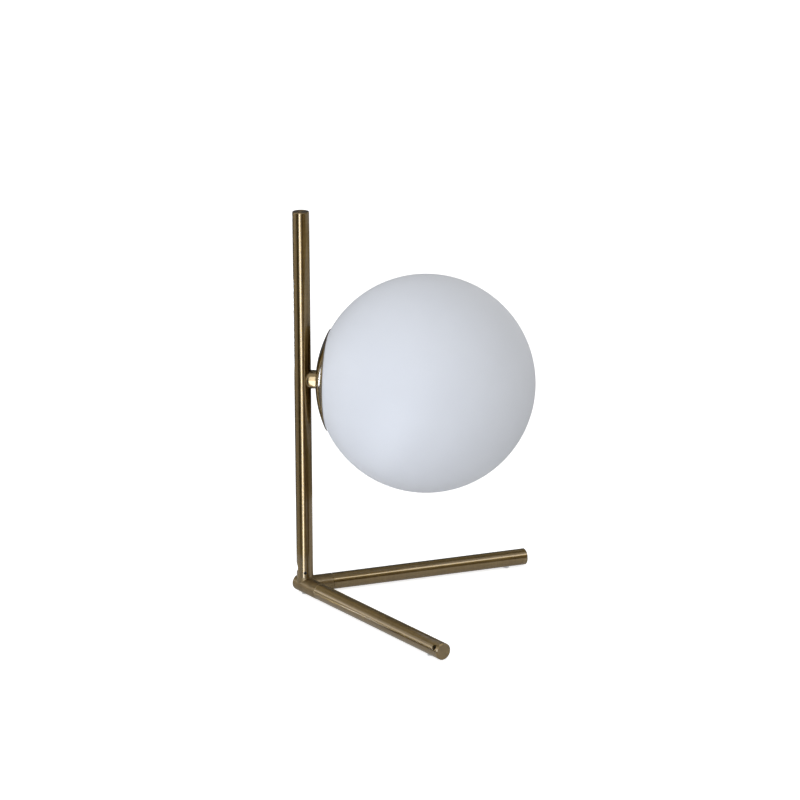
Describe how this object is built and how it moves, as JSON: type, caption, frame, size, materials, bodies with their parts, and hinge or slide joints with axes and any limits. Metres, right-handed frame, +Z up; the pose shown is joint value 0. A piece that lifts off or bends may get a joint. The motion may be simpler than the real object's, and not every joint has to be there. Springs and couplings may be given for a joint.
{
  "type": "table lamp",
  "caption": "Globe table lamp: upright tube on a V of tube legs carries an opal glass globe beside it on a short arm and shallow saucer, in satin antique brass.",
  "frame": {"origin": "on the table under the stem's axis, at the middle of the pad under the base joint", "axes": "+X along the arm from the stem to the globe, +Z up along the stem, +Y to the side of the back leg"},
  "size_m": [0.2309, 0.2868, 0.3725],
  "materials": {
    "brass": "satin brushed antique brass",
    "hub_brass": "matte antique brass casting",
    "gallery_metal": "spun, plain",
    "zinc_steel": "zinc plated",
    "dark_steel": "black oxide",
    "rubber": "clear silicone",
    "holder_plastic": "moulded, fine matte",
    "shell_brass": "bright",
    "bulb_metal": "bright",
    "bulb_opal": "opal",
    "opal_glass": "opal, acid satin outside"
  },
  "bodies": {
    "stand": {"base_joint": "hub_brass", "base_foot": "rubber", "front_leg": "brass", "back_leg": "brass", "front_leg_insert": "zinc_steel", "back_leg_insert": "zinc_steel", "front_leg_stud": "zinc_steel", "back_leg_stud": "zinc_steel", "front_leg_cap": "brass", "back_leg_cap": "brass", "front_cap_screw": "dark_steel", "back_cap_screw": "dark_steel", "front_foot": "rubber", "back_foot": "rubber", "stem": "brass", "stem_cap": "brass", "stem_cap_screw": "dark_steel", "stem_foot_screw": "dark_steel", "arm_anchor": "zinc_steel", "arm_sleeve": "brass", "arm_nipple": "zinc_steel", "saucer": "brass", "gallery": "gallery_metal", "saucer_washer": "zinc_steel", "saucer_nut": "zinc_steel", "lampholder_cap": "holder_plastic", "lampholder_body": "holder_plastic", "contact_block": "holder_plastic", "screw_shell": "shell_brass", "centre_contact": "shell_brass"},
    "globe": {"globe": "opal_glass", "globe_collar": "gallery_metal"},
    "bulb": {"bulb_cap": "bulb_metal", "bulb_glass": "bulb_opal"}
  },
  "joints": [
    {"name": "globe_off", "type": "slide", "parent": "stand", "child": "globe", "axis": [1, 0, 0], "range_m": [0, 0.12]},
    {"name": "bulb_out", "type": "slide", "parent": "stand", "child": "bulb", "axis": [1, 0, 0], "range_m": [0, 0.024]}
  ]
}
